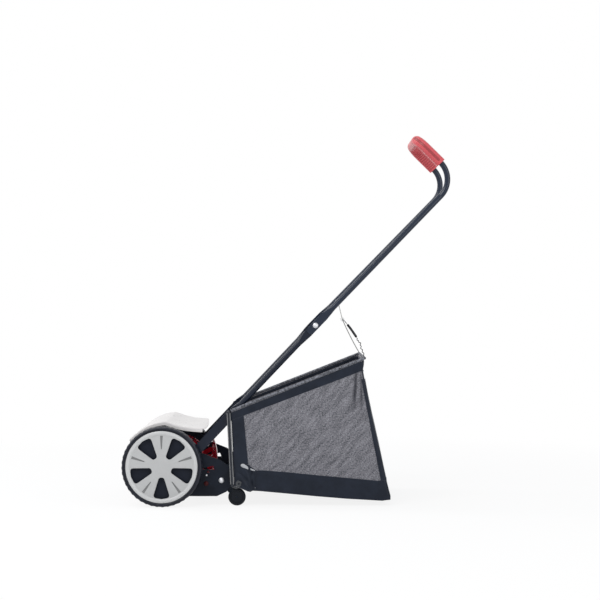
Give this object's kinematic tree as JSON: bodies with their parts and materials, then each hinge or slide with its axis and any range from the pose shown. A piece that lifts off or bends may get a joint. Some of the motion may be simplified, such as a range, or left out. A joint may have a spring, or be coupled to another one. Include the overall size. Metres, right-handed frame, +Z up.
{
  "type": "reel mower",
  "caption": "Push reel mower with two geared drive wheels, helical reel, bedknife, rear support rollers, folding tube handle and open fabric grass catcher.",
  "frame": {"origin": "on the ground, midway between the front of the wheels and the rearmost point of the handle, in the middle of the width", "axes": "+Z up, the front of the mower towards -X, the operator's left side towards -Y"},
  "size_m": [1.0008, 0.499, 1.133],
  "materials": {
    "plate_black": "satin",
    "cover_pale": "satin",
    "zinc": "satin",
    "gear_steel": "satin",
    "red_bolt": "gloss",
    "reel_red": "gloss",
    "bush_grey": "matte",
    "wheel_black": "matte",
    "tyre_black": "matte",
    "hubcap_silver": "satin",
    "roller_black": "satin",
    "handle_black": "gloss",
    "grip_red": "gloss",
    "catcher_black": "satin",
    "hook_grey": "matte",
    "bag_mesh": "woven",
    "cord_pale": "braided",
    "spring_black": "satin"
  },
  "bodies": {
    "chassis": {"side_plate_left": "plate_black", "side_plate_right": "plate_black", "deck_cover": "cover_pale", "cover_screws": "zinc", "front_tie_rod": "plate_black", "rear_tie_rod": "plate_black", "tie_rod_bolts": "zinc", "stub_axles": "zinc", "wheel_nuts": "zinc", "reel_bearings": "bush_grey", "bedknife_pivots": "red_bolt", "roller_pivot_bolts": "zinc", "handle_pivot_bolts": "zinc", "handle_pivot_nuts": "zinc", "handle_stop_studs": "zinc"},
    "bedknife": {"bedknife_bar": "plate_black", "bedknife_blade": "gear_steel", "bedknife_screws": "zinc"},
    "reel": {"reel_shaft": "gear_steel", "reel_spiders": "reel_red", "reel_blades": "reel_red", "reel_pawls": "zinc", "reel_clips": "zinc"},
    "pinion_left": {"drive_pinion_left": "gear_steel"},
    "pinion_right": {"drive_pinion_right": "gear_steel"},
    "wheel_left": {"wheel_rim_left": "wheel_black", "wheel_bush_left": "bush_grey", "tyre_left": "tyre_black", "hubcap_left": "hubcap_silver"},
    "wheel_right": {"wheel_rim_right": "wheel_black", "wheel_bush_right": "bush_grey", "tyre_right": "tyre_black", "hubcap_right": "hubcap_silver"},
    "roller_carrier": {"roller_bracket_left": "plate_black", "roller_bracket_right": "plate_black", "roller_axle": "zinc", "roller_index_pins": "zinc"},
    "roller_left": {"support_roller_left": "roller_black"},
    "roller_right": {"support_roller_right": "roller_black"},
    "lower_handle": {"lower_handle_left": "handle_black", "lower_handle_right": "handle_black", "fold_bolts": "zinc", "fold_nuts": "zinc"},
    "upper_handle": {"upper_handle": "handle_black", "cross_rod": "handle_black", "grip_left": "grip_red", "grip_right": "grip_red", "grip_cross": "grip_red"},
    "catcher": {"catcher_rim": "catcher_black", "mouth_posts": "catcher_black", "mouth_bar": "catcher_black", "catcher_hooks": "hook_grey", "bag_side_left": "bag_mesh", "bag_side_right": "bag_mesh", "bag_floor": "bag_mesh", "bag_back": "bag_mesh", "lift_cord": "cord_pale", "lift_spring": "spring_black", "lift_wire": "spring_black"}
  },
  "joints": [
    {"name": "reel_spin", "type": "hinge", "parent": "chassis", "child": "reel", "pos_m": [-0.29755, 0, 0.11095], "axis": [0, -1, 0], "continuous": true},
    {"name": "pinion_left_spin", "type": "hinge", "parent": "chassis", "child": "pinion_left", "pos_m": [-0.29755, 0, 0.11095], "axis": [0, -1, 0], "continuous": true},
    {"name": "pinion_right_spin", "type": "hinge", "parent": "chassis", "child": "pinion_right", "pos_m": [-0.29755, 0, 0.11095], "axis": [0, -1, 0], "continuous": true},
    {"name": "wheel_left_spin", "type": "hinge", "parent": "chassis", "child": "wheel_left", "pos_m": [-0.37943, 0, 0.121], "axis": [0, -1, 0], "continuous": true},
    {"name": "wheel_right_spin", "type": "hinge", "parent": "chassis", "child": "wheel_right", "pos_m": [-0.37943, 0, 0.121], "axis": [0, -1, 0], "continuous": true},
    {"name": "bedknife_adjust", "type": "hinge", "parent": "chassis", "child": "bedknife", "pos_m": [-0.24843, 0, 0.0655], "axis": [0, -1, 0], "range_deg": [0, 2]},
    {"name": "cut_height", "type": "hinge", "parent": "chassis", "child": "roller_carrier", "pos_m": [-0.20193, 0, 0.0755], "axis": [0, 1, 0], "range_deg": [0, 12]},
    {"name": "roller_left_spin", "type": "hinge", "parent": "roller_carrier", "child": "roller_left", "pos_m": [-0.15443, 0, 0.0265], "axis": [0, -1, 0], "continuous": true},
    {"name": "roller_right_spin", "type": "hinge", "parent": "roller_carrier", "child": "roller_right", "pos_m": [-0.15443, 0, 0.0265], "axis": [0, -1, 0], "continuous": true},
    {"name": "handle_swing", "type": "hinge", "parent": "chassis", "child": "lower_handle", "pos_m": [-0.31293, 0, 0.128], "axis": [0, -1, 0], "range_deg": [0, 60]},
    {"name": "handle_fold", "type": "hinge", "parent": "lower_handle", "child": "upper_handle", "pos_m": [0.08356, 0, 0.54582], "axis": [0, -1, 0], "range_deg": [0, 130]},
    {"name": "catcher_lift", "type": "slide", "parent": "lower_handle", "child": "catcher", "axis": [0.6884, 0, 0.7254], "range_m": [0, 0.24]}
  ],
  "couplings": [
    {"joint": "pinion_left_spin", "follows": "reel_spin", "ratio": 1},
    {"joint": "pinion_right_spin", "follows": "reel_spin", "ratio": 1},
    {"joint": "wheel_left_spin", "follows": "reel_spin", "ratio": 0.16667},
    {"joint": "wheel_right_spin", "follows": "reel_spin", "ratio": 0.16667}
  ]
}
